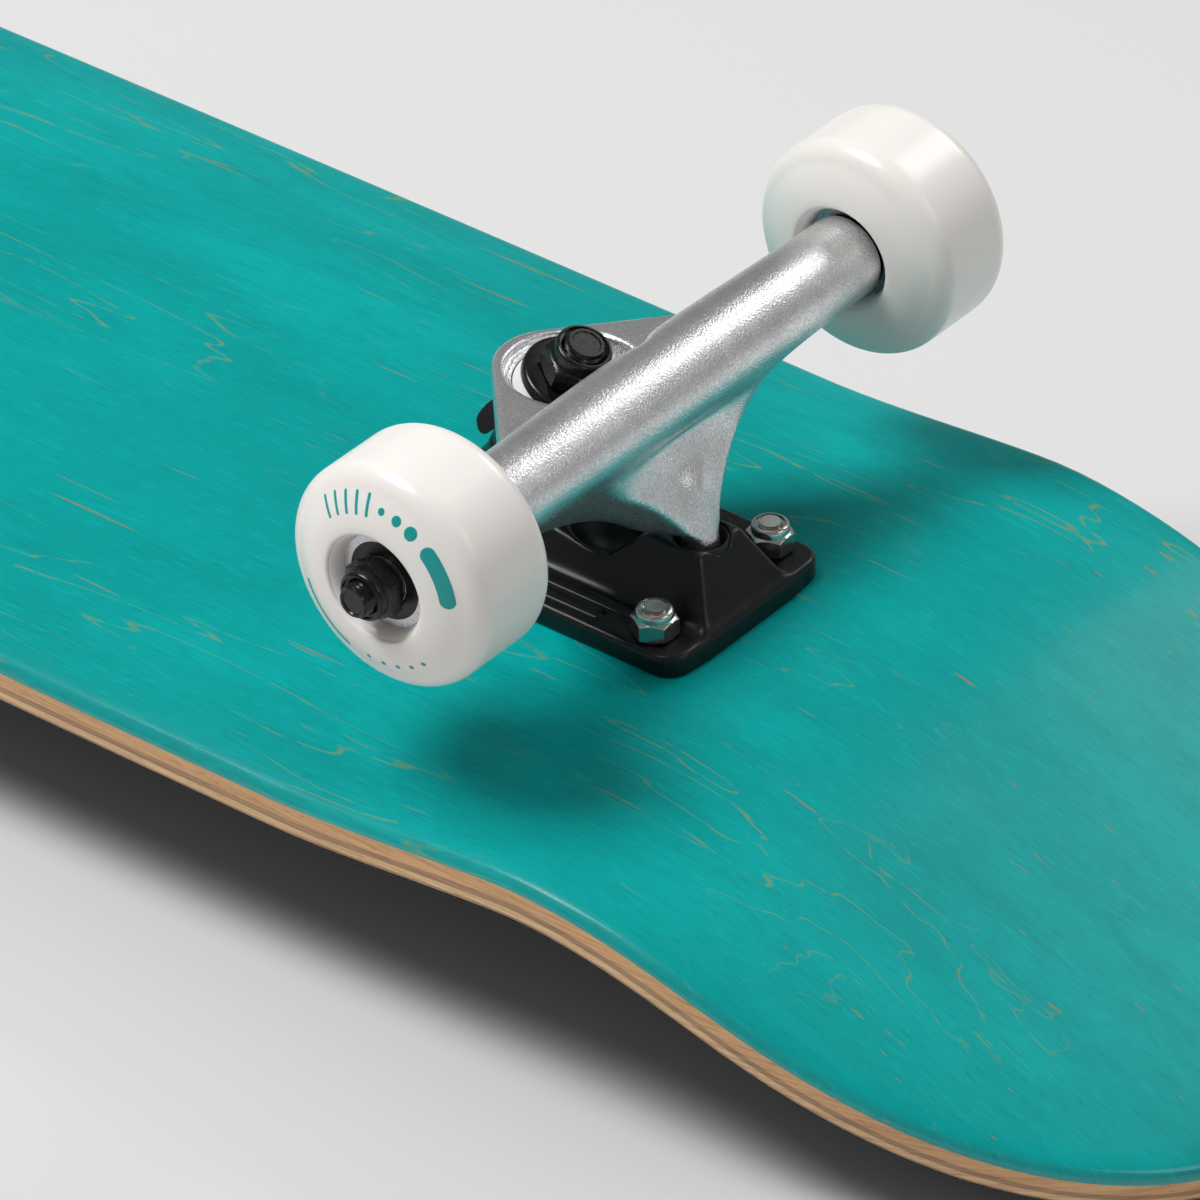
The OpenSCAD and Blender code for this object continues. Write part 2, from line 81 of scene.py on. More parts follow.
# Trucks
AXLE_X = 12
AXLE_Z = 53
AXLE_R = 3.97
AXLE_HALF = 103.7
AXLE_NUT_Y = 94
HANGER_HALF = 68
KINGPIN_X = -31.3
LEAN = math.radians(22.5)
KINGPIN_R = 4.76
THREAD_PITCH = 1.06
BOLT_X = 53.9
BOLT_Y = 41.3
BOLT_R = 2.38
BOLT_HOLE_R = 2.6
BOLT_PITCH = 0.8
FLANGE_T = 5.6
PLATE_HALF_W = 27.5
HOUSING_Z = 19.3
PIVOT_X = 23.5
PIVOT_Z = 13.5

# Stack on the kingpin, as distances along it from the deck
HEAD_TO = 10
SEAT_T = 25
CUP_WEB = 1.6
RING_FROM = 37.6
RING_SEAT = 41.6
RING_TOP = 44.4
PIN_NUT_FROM = 50.8
KINGPIN_TO = 61.3

# Wheels
WHEEL_Y = 81
WHEEL_R = 26.5
BEARING_R = 11
BEARING_FROM = 5
TREAD_HALF = 8
SHOULDER_R = 6
SHOULDER_W = 5.3
FACE_FROM_R = 14.5
FACE_TO_R = 21.9
FACE_Z = 15.9


# ---------------------------------------------------------------- camera, lights and floor

def add_camera():
    """Camera at the photograph's viewing angle."""
    azimuth, elevation, roll = map(math.radians, (38.774, 35.003, -0.524))
    target = Vector((0.23503, -0.03969, 0.0848854))
    distance = 1.73611
    back = Vector((math.sin(azimuth) * math.cos(elevation),
                   -math.cos(azimuth) * math.cos(elevation), math.sin(elevation)))
    right = Vector((0, 0, 1)).cross(back).normalized()
    up = back.cross(right)
    across = math.cos(roll) * right + math.sin(roll) * up
    camera = bpy.data.objects.new("camera", bpy.data.cameras.new("camera"))
    camera.data.sensor_width = 36
    camera.data.lens = 242.27
    camera.matrix_world = Matrix.Translation(target + distance * back) @ Matrix(
        (across, back.cross(across), back)).transposed().to_4x4()
    bpy.context.scene.collection.objects.link(camera)
    bpy.context.scene.camera = camera


def add_light(name, place, aim, size, power):
    """Rectangular soft light at a place in metres, turned towards aim."""
    light = bpy.data.lights.new(name, "AREA")
    light.shape = "RECTANGLE"
    light.size, light.size_y = size
    light.energy = power
    lamp = bpy.data.objects.new(name, light)
    lamp.location = place
    lamp.rotation_euler = (Vector(aim) - Vector(place)).to_track_quat("-Z", "Y").to_euler()
    bpy.context.scene.collection.objects.link(lamp)


def add_studio():
    """White surroundings, three soft lights and a floor just below the board."""
    scene = bpy.context.scene
    scene.view_settings.view_transform = "Standard"
    scene.world = bpy.data.worlds.new("studio")
    scene.world.use_nodes = True
    sky = scene.world.node_tree.nodes["Background"]
    sky.inputs["Color"].default_value = (1, 1, 1, 1)
    sky.inputs["Strength"].default_value = 0.2
    middle = (0.2, 0, 0.08)
    add_light("key_light", (-0.47, -0.61, 1.86), middle, (0.75, 0.75), 34)
    add_light("back_light", (0.45, 1.75, 1.5), (0.3, 0, 0.05), (0.8, 0.6), 11)
    add_light("side_light", (1.9, 0.5, 1.3), middle, (1.0, 0.8), 4)
    floor_half = 14
    floor_z = -0.0002
    corners = [(x * floor_half, y * floor_half, floor_z) for x, y in ((-1, -1), (1, -1), (1, 1), (-1, 1))]
    mesh = bpy.data.meshes.new("floor")
    mesh.from_pydata(corners, [], [(0, 1, 2, 3)])
    floor = bpy.data.objects.new("floor", mesh)
    mesh.materials.append(floor_paint())
    scene.collection.objects.link(floor)


# ---------------------------------------------------------------- materials

class Shader:
    """Material with one Principled shader and short calls for its nodes."""

    def __init__(self, name, **settings):
        self.material = bpy.data.materials.new(name)
        self.material.use_nodes = True
        self.tree = self.material.node_tree
        self.surface = self.tree.nodes["Principled BSDF"]
        where = self.tree.nodes.new("ShaderNodeTexCoord")
        self.place = where.outputs["Object"]
        self.facing = where.outputs["Normal"]
        for socket, value in settings.items():
            self.surface.inputs[socket.replace("_", " ")].default_value = value

    def add(self, kind, inputs, output=0, **properties):
        """New node; inputs that are sockets are linked, and the rest are set."""
        node = self.tree.nodes.new("ShaderNode" + kind)
        for name, value in properties.items():
            setattr(node, name, value)
        for name, value in inputs.items():
            if isinstance(value, bpy.types.NodeSocket):
                self.tree.links.new(value, node.inputs[name])
            else:
                node.inputs[name].default_value = value
        return node.outputs[output]

    def noise(self, per_metre, detail=2.0, roughness=0.5, shift=0.0):
        """Noise with so many cells per metre along X, Y and Z."""
        if not isinstance(per_metre, tuple):
            per_metre = (per_metre,) * 3
        place = self.add("Mapping", {"Vector": self.place, "Location": (shift,) * 3, "Scale": per_metre})
        return self.add("TexNoise", {"Vector": place, "Scale": 1.0, "Detail": detail,
                                     "Roughness": roughness})

    def math(self, operation, first, second=0.0):
        return self.add("Math", {0: first, 1: second}, operation=operation)

    def fade(self, value, low, high):
        """0 where value is below low and 1 above high, smooth between."""
        return self.add("MapRange", {"Value": value, "From Min": low, "From Max": high},
                        interpolation_type="SMOOTHSTEP")

    def mix(self, amount, first, second):
        """Colour between two colours."""
        node = self.tree.nodes.new("ShaderNodeMix")
        node.data_type = "RGBA"
        for index, value in ((0, amount), (6, first), (7, second)):
            if isinstance(value, bpy.types.NodeSocket):
                self.tree.links.new(value, node.inputs[index])
            else:
                node.inputs[index].default_value = value if index == 0 else (*value, 1)
        return node.outputs[2]

    def give(self, socket, value):
        """Feed a socket of the Principled shader."""
        self.tree.links.new(value, self.surface.inputs[socket])

    def rough(self, value, low, high, start=0.0, end=1.0):
        """Roughness from low to high as value goes from start to end."""
        self.give("Roughness", self.add("MapRange", {"Value": value, "From Min": start, "From Max": end,
                                                     "To Min": low, "To Max": high}))

    def bump(self, height, distance, strength=1.0):
        """Relief of a height of 0 to 1 over a distance in metres."""
        normal = self.add("Bump", {"Height": height, "Distance": distance, "Strength": strength})
        self.give("Normal", normal)


def floor_paint():
    """Plain pale floor."""
    s = Shader("floor_paint", Roughness=0.75)
    tone = s.noise(3, 2)
    s.give("Base Color", s.mix(tone, (0.73, 0.73, 0.73), (0.75, 0.75, 0.75)))
    return s.material


def stained_maple():
    """Turquoise stain over maple: mottling, fibres, thin wandering grain lines, and lacquer."""
    s = Shader("stained_maple", Roughness=0.42, Coat_Roughness=0.16)
    s.surface.inputs["Specular IOR Level"].default_value = 0.09
    mottle = s.fade(s.noise((9, 26, 26), 5, 0.62), 0.33, 0.68)
    colour = s.mix(mottle, (0.0, 0.30, 0.29), (0.0, 0.375, 0.365))
    streak = s.fade(s.noise((16, 110, 60), 5, 0.68, 3), 0.48, 0.74)
    colour = s.mix(s.math("MULTIPLY", streak, 0.35), colour, (0.0, 0.24, 0.235))
    fibre = s.noise((130, 1700, 400), 3, 0.65, 5)
    dark_fibre = s.math("MULTIPLY", s.fade(fibre, 0.5, 0.72), 0.45)
    colour = s.mix(dark_fibre, colour, (0.0, 0.22, 0.225))
    light_fibre = s.math("MULTIPLY", s.fade(s.noise((150, 1300, 300), 2, 0.5, 9), 0.52, 0.75), 0.3)
    colour = s.mix(light_fibre, colour, (0.0, 0.47, 0.44))
    # Thin lines of equal height on a slow, stretched noise read as cathedral grain
    hill = s.noise((2.1, 21, 21), 4, 0.52, 1)
    level = s.math("FRACT", s.math("MULTIPLY", hill, 19))
    line = s.math("SUBTRACT", 1, s.fade(s.math("ABSOLUTE", s.math("SUBTRACT", level, 0.5)), 0.008, 0.04))
    patch = s.fade(s.noise((6, 16, 16), 2, 0.5, 7), 0.46, 0.60)
    broken = s.fade(s.noise((160, 420, 300), 3, 0.6, 2), 0.36, 0.54)
    line = s.math("MULTIPLY", s.math("MULTIPLY", line, patch), broken)
    colour = s.mix(s.math("MULTIPLY", line, 0.7), colour, (0.20, 0.29, 0.11))
    rust = s.fade(s.noise((22, 700, 300), 2, 0.5, 13), 0.70, 0.76)
    colour = s.mix(s.math("MULTIPLY", rust, 0.65), colour, (0.30, 0.20, 0.05))
    s.give("Base Color", colour)
    # The lacquer is thickest, and shines most, on the rounded edges
    steep = s.fade(s.math("ABSOLUTE", s.add("SeparateXYZ", {"Vector": s.facing}, "Z")), 0.90, 0.66)
    s.give("Coat Weight", s.math("ADD", s.math("MULTIPLY", steep, 0.9), 0.07))
    s.bump(fibre, 0.00004, 0.35)
    return s.material


def bare_maple(name, light, dark):
    """Cut edge of one veneer."""
    s = Shader(name, Roughness=0.5, Coat_Weight=0.3, Coat_Roughness=0.3)
    long_grain = s.fade(s.noise((40, 60, 1500), 4, 0.65), 0.35, 0.68)
    colour = s.mix(long_grain, light, dark)
    pore = s.fade(s.noise((260, 260, 2600), 2, 0.5, 4), 0.60, 0.72)
    colour = s.mix(s.math("MULTIPLY", pore, 0.6), colour, tuple(0.45 * c for c in dark))
    s.give("Base Color", colour)
    s.bump(long_grain, 0.00005, 0.4)
    return s.material


def grit():
    """Black grip tape with light specks of grit."""
    s = Shader("grip_grit", Roughness=0.85)
    grain = s.noise(1400, 3, 0.7)
    s.give("Base Color", s.mix(s.fade(grain, 0.45, 0.75), (0.012, 0.012, 0.013), (0.10, 0.10, 0.105)))
    s.bump(grain, 0.0004, 0.9)
    return s.material


def tumbled_aluminium():
    """Raw casting, tumbled until it sparkles."""
    s = Shader("tumbled_aluminium", Metallic=1.0)
    cloud = s.noise(110, 4, 0.6)
    peen = s.noise(1900, 2, 0.6, 2)
    colour = s.mix(s.fade(cloud, 0.3, 0.7), (0.82, 0.82, 0.83), (0.95, 0.95, 0.96))
    glint = s.fade(peen, 0.4, 0.62)
    colour = s.mix(s.math("MULTIPLY", glint, 0.45), colour, (0.50, 0.50, 0.51))
    s.give("Base Color", colour)
    s.rough(peen, 0.24, 0.44, 0.3, 0.7)
    s.bump(peen, 0.00015, 1.0)
    return s.material


def black_coat(name, roughness, grain, depth):
    """Black coating with a fine skin."""
    s = Shader(name, Metallic=0.0)
    s.surface.inputs["Specular IOR Level"].default_value = 0.4
    skin = s.noise(grain, 3, 0.6)
    s.give("Base Color", s.mix(skin, (0.002, 0.002, 0.0022), (0.006, 0.006, 0.0065)))
    s.rough(skin, roughness - 0.08, roughness + 0.08)
    s.bump(skin, depth, 0.5)
    return s.material


def metal(name, dark, light, roughness, grain):
    """Bare or plated metal with fine marks."""
    s = Shader(name, Metallic=1.0)
    mark = s.noise(grain, 3, 0.6)
    s.give("Base Color", s.mix(mark, dark, light))
    s.rough(mark, roughness - 0.08, roughness + 0.1)
    s.bump(mark, 0.00003, 0.4)
    return s.material


def urethane(name, light, dark, roughness):
    """Cast urethane, a little cloudy."""
    s = Shader(name, Subsurface_Weight=0.25, Subsurface_Scale=0.004)
    cloud = s.noise(45, 3, 0.5)
    s.give("Base Color", s.mix(cloud, light, dark))
    s.rough(s.noise(160, 3, 0.6, 3), roughness - 0.02, roughness + 0.03)
    s.bump(s.noise(900, 2, 0.5, 5), 0.000012, 0.3)
    return s.material


def plastic(name, light, dark, roughness, grain):
    """Moulded plastic, rubber or ink with a fine skin."""
    s = Shader(name)
    skin = s.noise(grain, 3, 0.6)
    s.give("Base Color", s.mix(skin, light, dark))
    s.rough(skin, roughness - 0.05, roughness + 0.08)
    s.bump(skin, 0.00003, 0.4)
    return s.material


MATERIALS = {
    "stain": stained_maple(),
    "ply_tan": bare_maple("ply_tan", (0.74, 0.43, 0.19), (0.54, 0.28, 0.11)),
    "ply_brown": bare_maple("ply_brown", (0.46, 0.26, 0.13), (0.30, 0.16, 0.08)),
    "ply_pale": bare_maple("ply_pale", (0.80, 0.54, 0.28), (0.60, 0.36, 0.16)),
    "grit": grit(),
    "aluminium": tumbled_aluminium(),
    "plate_black": black_coat("plate_black", 0.34, 260, 0.00006),
    "steel_black": black_coat("steel_black", 0.26, 700, 0.00004),
    "nickel": metal("bright_nickel", (0.50, 0.48, 0.45), (0.72, 0.70, 0.67), 0.20, 500),
    "bearing_steel": metal("ground_steel", (0.40, 0.40, 0.42), (0.62, 0.62, 0.64), 0.28, 900),
    "shield": black_coat("shield_black", 0.40, 800, 0.00003),
    "cage": plastic("cage_nylon", (0.62, 0.52, 0.34), (0.48, 0.39, 0.24), 0.45, 600),
    "cup": plastic("cup_urethane", (0.022, 0.022, 0.024), (0.010, 0.010, 0.011), 0.55, 500),
    "wheel": urethane("wheel_urethane", (0.92, 0.885, 0.845), (0.905, 0.87, 0.83), 0.25),
    "bushing": urethane("bushing_urethane", (0.86, 0.87, 0.86), (0.78, 0.79, 0.78), 0.36),
    "ink": plastic("wheel_ink", (0.0, 0.36, 0.34), (0.0, 0.30, 0.29), 0.38, 900),
}


# ---------------------------------------------------------------- meshes

def merged(shapes):
    """One shape, (points, faces), from several."""
    points, faces, count = [], [], 0
    for shape_points, shape_faces in shapes:
        points.append(np.asarray(shape_points, float))
        faces += [tuple(i + count for i in face) for face in shape_faces]
        count += len(shape_points)
    return np.concatenate(points), faces


def moved(shape, matrix):
    """The shape through a 4 x 4 matrix in millimetres."""
    m = np.array(matrix)
    return np.asarray(shape[0]) @ m[:3, :3].T + m[:3, 3], shape[1]


def closed_mesh(name, shape, pick=None):
    """Mesh from a shape in millimetres, with joined points and faces turned outwards."""
    mesh = bpy.data.meshes.new(name)
    mesh.from_pydata((np.asarray(shape[0]) * MM).tolist(), [], shape[1])
    if pick is not None:
        mesh.polygons.foreach_set("material_index", pick)
    work = bmesh.new()
    work.from_mesh(mesh)
    bmesh.ops.remove_doubles(work, verts=work.verts, dist=1e-6)
    bmesh.ops.recalc_face_normals(work, faces=work.faces)
    work.to_mesh(mesh)
    work.free()
    return mesh


def add_piece(name, shape, body, materials, replaced, sharp=38, pick=None):
    """Piece from a shape in the row frame. pick gives each face's material."""
    mesh = closed_mesh(name, shape, pick)
    for key in materials:
        mesh.materials.append(MATERIALS[key])
    mesh.polygons.foreach_set("use_smooth", [True] * len(mesh.polygons))
    mesh.set_sharp_from_angle(angle=math.radians(sharp))
    piece = bpy.data.objects.new(name, mesh)
    bpy.context.scene.collection.objects.link(piece)
    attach(piece, body)
    if replaced:
        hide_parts(*replaced)
    return piece


def turned(rows, flats=0.0, pitch=1.0, ring=False, segments=72):
    """Turned shape about Z from rows of (radius, height, kind).

    Kind "hex" is cut by a hexagon of that size over its flats, and "thread" by a screw thread.
    A ring joins its last row to its first.
    """
    turn = np.arange(segments) * 2 * math.pi / segments
    hexagon = flats / 2 / np.cos((turn + math.pi / 6) % (math.pi / 3) - math.pi / 6)
    thread_depth = 0.55 * pitch
    points = []
    for radius, height, *kind in rows:
        r = np.full(segments, float(radius))
        if kind == ["hex"]:
            r = np.minimum(r, hexagon)
        if kind == ["thread"]:
            wave = (height / pitch - turn / (2 * math.pi)) % 1.0
            r = r - thread_depth * np.abs(2 * wave - 1)
        points.append(np.stack([r * np.cos(turn), r * np.sin(turn), np.full(segments, float(height))], 1))
    last = len(rows) if ring else len(rows) - 1
    faces = []
    for i in range(last):
        a, b = i * segments, (i + 1) % len(rows) * segments
        faces += [(a + j, a + (j + 1) % segments, b + (j + 1) % segments, b + j) for j in range(segments)]
    return np.concatenate(points), faces


def fillet(centre_r, centre_z, radius, start, end, steps=5):
    """Rows along an arc of a section, with angles in degrees from the radial direction."""
    return [(centre_r + radius * math.cos(math.radians(a)), centre_z + radius * math.sin(math.radians(a)))
            for a in np.linspace(start, end, steps)]


def lock_nut(flats, hex_h, full_h, bore, thread_pitch):
    """Lock nut on Z: chamfered hexagon, round collar, and a plain bore inside."""
    corner = flats / 2 / math.cos(math.pi / 6)
    face_r = flats * 0.475
    slope = math.tan(math.radians(30))
    rise = (corner - face_r) * slope
    low = [(face_r + (corner - face_r) * i / 4, 0.25 + rise * i / 4, "hex") for i in range(5)]
    high = [(corner - (corner - face_r) * i / 4, hex_h - rise + rise * i / 4, "hex") for i in range(5)]
    collar_r = flats * 0.455
    collar = [(collar_r, hex_h + 0.1)] + fillet(collar_r - 0.9, full_h - 1.0, 0.9, 10, 90)
    mouth = [(bore + 1.1, full_h - 0.1), (bore + 1.0, full_h - 0.7), (bore + 0.25, full_h - 0.8)]
    inside = [(bore, full_h - 1.0), (bore, 0.6), (bore + 0.5, 0.0)]
    return turned([(face_r - 0.2, 0.0)] + low + high + collar + mouth + inside, flats, thread_pitch, True)


def rod_tip(radius, high):
    """Rows of a chamfered end with a shallow dimple in its middle."""
    return [(radius - 0.5, high - 0.5), (radius * 0.84, high), (radius * 0.7, high),
            (radius * 0.66, high - 0.3), (0, high - 0.3)]


def rod(radius, high, pitch, thread_run):
    """Rod on Z from 0 to high, with a flat lower end and a chamfered, threaded upper end."""
    steps = int(thread_run / pitch * 8)
    thread = [(radius, high - 0.7 - thread_run * (1 - i / steps), "thread") for i in range(steps + 1)]
    plain = [(0, 0), (radius, 0), (radius, high - 0.8 - thread_run)]
    return turned(plain + thread + rod_tip(radius, high), 0, pitch)


def casting(low, high, step, field):
    """Surface where field(x, y, z) is 0, from a grid of that step."""
    axes = [np.arange(a, b, step) for a, b in zip(low, high)]
    grid = vdb.FloatGrid(background=3.0)
    grid.copyFromArray(field(*np.meshgrid(*axes, indexing="ij")).astype(np.float32))
    points, quads = grid.convertToQuads(isovalue=0.0)
    return np.asarray(low) + np.asarray(points, float) * step, [tuple(q) for q in quads.tolist()]


def join(a, b, blend):
    """Union of two distance fields with a fillet."""
    h = np.clip(0.5 + 0.5 * (b - a) / blend, 0, 1)
    return b + (a - b) * h - blend * h * (1 - h)


def cut(a, b, blend):
    """Intersection of two distance fields with a rounded edge."""
    return -join(-a, -b, blend)


def softened(field, passes):
    """The field smoothed, which rounds every edge and corner of a casting."""
    for _ in range(passes):
        for axis in range(3):
            field = (np.roll(field, 1, axis) + 2 * field + np.roll(field, -1, axis)) / 4
    return field


# ---------------------------------------------------------------- deck

def ease(t):
    """Smooth step from 0 to 1."""
    t = np.clip(t, 0, 1)
    return t * t * (3 - 2 * t)


def skin(u, y, depth):
    """Points of the deck at run u, across y, at a depth below its upward face."""
    run = np.abs(u)
    turn = np.clip((run - KICK_U) / KICK_R, 0, KICK_ANGLE)
    past = np.maximum(run - KICK_U - KICK_R * KICK_ANGLE, 0)
    flat = np.minimum(run, KICK_U)
    bend_x = flat + KICK_R * np.sin(turn) + past * math.cos(KICK_ANGLE)
    bend_z = -KICK_R * (1 - np.cos(turn)) - past * math.sin(KICK_ANGLE)
    rail = RAIL_DROP + (KICK_RAIL_DROP - RAIL_DROP) * ease((run - RAIL_FROM) / (RAIL_TO - RAIL_FROM))
    dish = rail * (np.maximum(np.abs(y) - FLAT_HALF_W, 0) / (DECK_HALF_W - FLAT_HALF_W)) ** 2
    d = depth + dish
    return np.stack([np.sign(u) * (bend_x - d * np.sin(turn)), y, DECK_H + bend_z - d * np.cos(turn)], 1)


def outline():
    """The deck's outline as (u, y) points, evenly spaced, and the outward direction at each."""
    even = np.linspace(0, 1, 400)
    t = np.unique(np.concatenate([even, (1 - even ** TIP_ROOT) ** (1 / TIP_POWER)]))
    u = np.concatenate([np.linspace(0, TIP_U, 120)[:-1], TIP_U + (HALF_RUN - TIP_U) * t])
    tip = np.maximum(u - TIP_U, 0) / (HALF_RUN - TIP_U)
    y = (DECK_HALF_W - WAIST * (u / TRUCK_X) ** 2) * (1 - tip ** TIP_POWER) ** (1 / TIP_ROOT)
    length = np.concatenate([[0], np.cumsum(np.hypot(np.diff(u), np.diff(y)))])
    places = np.linspace(0, length[-1], 84)
    quarter = np.stack([np.interp(places, length, u), np.interp(places, length, y)], 1)
    half = np.concatenate([quarter[::-1], (quarter * [-1, 1])[1:]])
    loop = np.concatenate([half, (half * [1, -1])[-2:0:-1]])
    along = np.roll(loop, -1, 0) - np.roll(loop, 1, 0)
    normal = np.stack([along[:, 1], -along[:, 0]], 1) / np.linalg.norm(along, axis=1)[:, None]
    return loop, normal * np.sign((normal * loop).sum(1))[:, None]


def edge_inset(depth):
    """How far the deck's edge stands inside the outline at a depth."""
    if depth < TOP_ROUND:
        return TOP_ROUND - math.sqrt(TOP_ROUND ** 2 - (TOP_ROUND - depth) ** 2)
    below = max(depth - DECK_T + BOTTOM_ROUND, 0)
    return BOTTOM_ROUND - math.sqrt(BOTTOM_ROUND ** 2 - below ** 2)


def slab(depths, insets):
    """Closed slab of the deck's shape. Its edge has a row at each depth, set in from the outline.

    It comes with the number of points in a row and of rows inside the edge.
    """
    loop, normal = outline()
    spine = np.stack([np.clip(loop[:, 0], -SPINE_U, SPINE_U), np.zeros(len(loop))], 1)
    inward = [1.0, 0.86, 0.72, 0.6, 0.48, 0.36, 0.24, 0.12, 0.04]
    rows = []
    top = loop - normal * insets[0]
    rows += [(top + (spine - top) * f, depths[0]) for f in inward]
    rows += [(loop - normal * inset, depth) for depth, inset in zip(depths, insets)]
    bottom = loop - normal * insets[-1]
    rows += [(bottom + (spine - bottom) * f, depths[-1]) for f in reversed(inward)]
    points = np.concatenate([skin(p[:, 0], p[:, 1], depth) for p, depth in rows])
    n = len(loop)
    faces = [(i * n + j, i * n + (j + 1) % n, (i + 1) * n + (j + 1) % n, (i + 1) * n + j)
             for i in range(len(rows) - 1) for j in range(n)]
    return (points, faces), n, len(inward)


def bolt_places():
    """Matrices of the four bolts in a truck's frame."""
    return [Matrix.Translation((x * BOLT_X / 2, y * BOLT_Y / 2, 0)) for x in (-1, 1) for y in (-1, 1)]


def on_truck(end):
    """Matrix from a truck's frame to the row frame."""
    turn = 0 if end == ENDS["front"] else math.pi
    return Matrix.Translation((end * TRUCK_X, 0, DECK_H)) @ Matrix.Rotation(turn, 4, "Z")


def drill(pieces):
    """Bolt holes with countersinks through each piece."""
    head = -DECK_T - GRIP_T - 1
    sink = [(5.1, head), (5.1, 0.05 - DECK_T), (BOLT_HOLE_R, 2.5 - DECK_T)]
    hole = turned([(0, head)] + sink + [(BOLT_HOLE_R, 3), (0, 3)], segments=40)
    shapes = [moved(hole, on_truck(end) @ place) for end in ENDS.values() for place in bolt_places()]
    tool = bpy.data.objects.new("drill", closed_mesh("drill", merged(shapes)))
    bpy.context.scene.collection.objects.link(tool)
    for piece in pieces:
        modifier = piece.modifiers.new("holes", "BOOLEAN")
        modifier.operation = "DIFFERENCE"
        modifier.solver = "MANIFOLD"
        modifier.object = tool
    bpy.context.view_layer.update()
    graph = bpy.context.evaluated_depsgraph_get()
    for piece in pieces:
        drilled = bpy.data.meshes.new_from_object(piece.evaluated_get(graph))
        piece.modifiers.clear()
        piece.data = drilled
    bpy.data.objects.remove(tool)


def build_deck():
    """Seven glued veneers and the grip tape."""
    woods = ["stain", "ply_tan", "ply_tan", "ply_tan", "ply_brown", "ply_pale", "ply_brown"]
    pieces = []
    for i, wood in enumerate(woods):
        rows = 7 if i in (0, 1, PLIES - 1) else 3
        depths = [float(d) for d in np.linspace(i * PLY_T, (i + 1) * PLY_T, rows)]
        shape, n, inner = slab(depths, [edge_inset(d) for d in depths])
        if i == 0:
            pick = [0] * len(shape[1])
            keys = ["stain"]
        else:
            keys = [wood, "stain"]
            pick = []
            for row in range(len(shape[1]) // n):
                side = row - inner
                stained = 0 <= side < rows - 1 and depths[side + 1] < STAIN_DEPTH + 0.3
                pick += [int(stained)] * n
        pieces.append(add_piece(f"deck_veneer_{i + 1}", shape, "root", keys,
                                ["deck"] if i == 0 else [], 40, pick))
    depths = [DECK_T, DECK_T + 0.25, DECK_T + 0.65, DECK_T + GRIP_T]
    shape, _, _ = slab(depths, [1.35, 1.1, 1.1, 1.25])
    pieces.append(add_piece("grip_sheet", shape, "root", ["grit"], ["grip_tape"], 40))
    drill(pieces)


# ---------------------------------------------------------------- castings

def along_kingpin(x, y, z):
    """Distance from the kingpin's axis, and distance along it from the deck."""
    dx = x - KINGPIN_X
    t = dx * math.sin(LEAN) + z * math.cos(LEAN)
    off = dx * math.cos(LEAN) - z * math.sin(LEAN)
    return np.hypot(off, y), t


def hanger_field(x, y, z):
    """Distance field of the hanger: tube, wedge round the bushings, web, leg and pivot ball."""
    side = np.abs(y)
    from_pin, t = along_kingpin(x, y, z)
    tube_r = 10.8 - 1.0 * ease((side - 10) / 58)
    tube = np.hypot(x - AXLE_X, z - AXLE_Z) - tube_r
    tube = cut(tube, np.minimum(11.4 - from_pin, 20), 1.5)
    tube = cut(tube, side - HANGER_HALF, 0.8)
    ring_r = 13
    opening = math.radians(48)
    nose_x = -18.2
    ahead = x - nose_x
    nose = np.hypot(ahead, side)
    flank = side * math.cos(opening) - ahead * math.sin(opening)
    plan = np.where(ahead * math.cos(opening) + side * math.sin(opening) < 0, nose, flank) - ring_r
    front_face = 16.5 + (44.5 - z) * 0.378
    flare = 4.5 * ease(side / 42) * ease((z - 36) / 10)
    # The web's lower edge is an arch on each side of the leg, and slants down behind the face
    arch = 20 + 27 * (1 - np.exp(-np.maximum(side - 4, 0) / 16))
    web = cut(plan, (x - front_face - flare) * 0.93, 1.5)
    web = cut(web, (arch - 1.05 * (front_face - x) - z) * 0.65, 1.0)
    web = cut(web, z - 48.3 - 0.03 * (x + 20), 1.6)
    web = cut(web, 40 - t, 1.2)
    web = cut(web, 20.9 - z, 1.5)
    scoop = np.maximum(np.maximum(x - front_face + 9.5, z - 37.5), 15 - from_pin)
    web = cut(web, -scoop, 3)
    pocket = np.maximum(from_pin - 14.6, RING_TOP - t)
    web = cut(web, -pocket, 0.8)
    collar = np.maximum(from_pin - ring_r, np.maximum(36 - t, t - RING_TOP))
    web = join(web, collar, 1.6)
    body = join(tube, web, 2.4)
    lean = 0.42 * np.maximum(z - 18.6, 0)
    leg = np.sqrt((x - PIVOT_X + lean) ** 2 + y ** 2 + np.minimum(z - PIVOT_Z, 0) ** 2)
    leg_r = 4.66 - 0.09 * np.clip(z - PIVOT_Z, 0, 5.5) + 0.06 * np.maximum(z - 19, 0)
    leg = cut(leg - leg_r, z - 34, 4)
    body = join(body, leg, 2.8)
    body = softened(body, 1)
    for radius, low, high in ((12.2, RING_SEAT, 60), (11.4, 20, RING_FROM), (6.4, 20, 60)):
        bore = np.maximum(from_pin - radius, np.maximum(low - t, t - high))
        body = cut(body, -bore, 0.5)
    axle_bore = np.hypot(x - AXLE_X, z - AXLE_Z) - AXLE_R
    return cut(body, -axle_bore, 0.4)


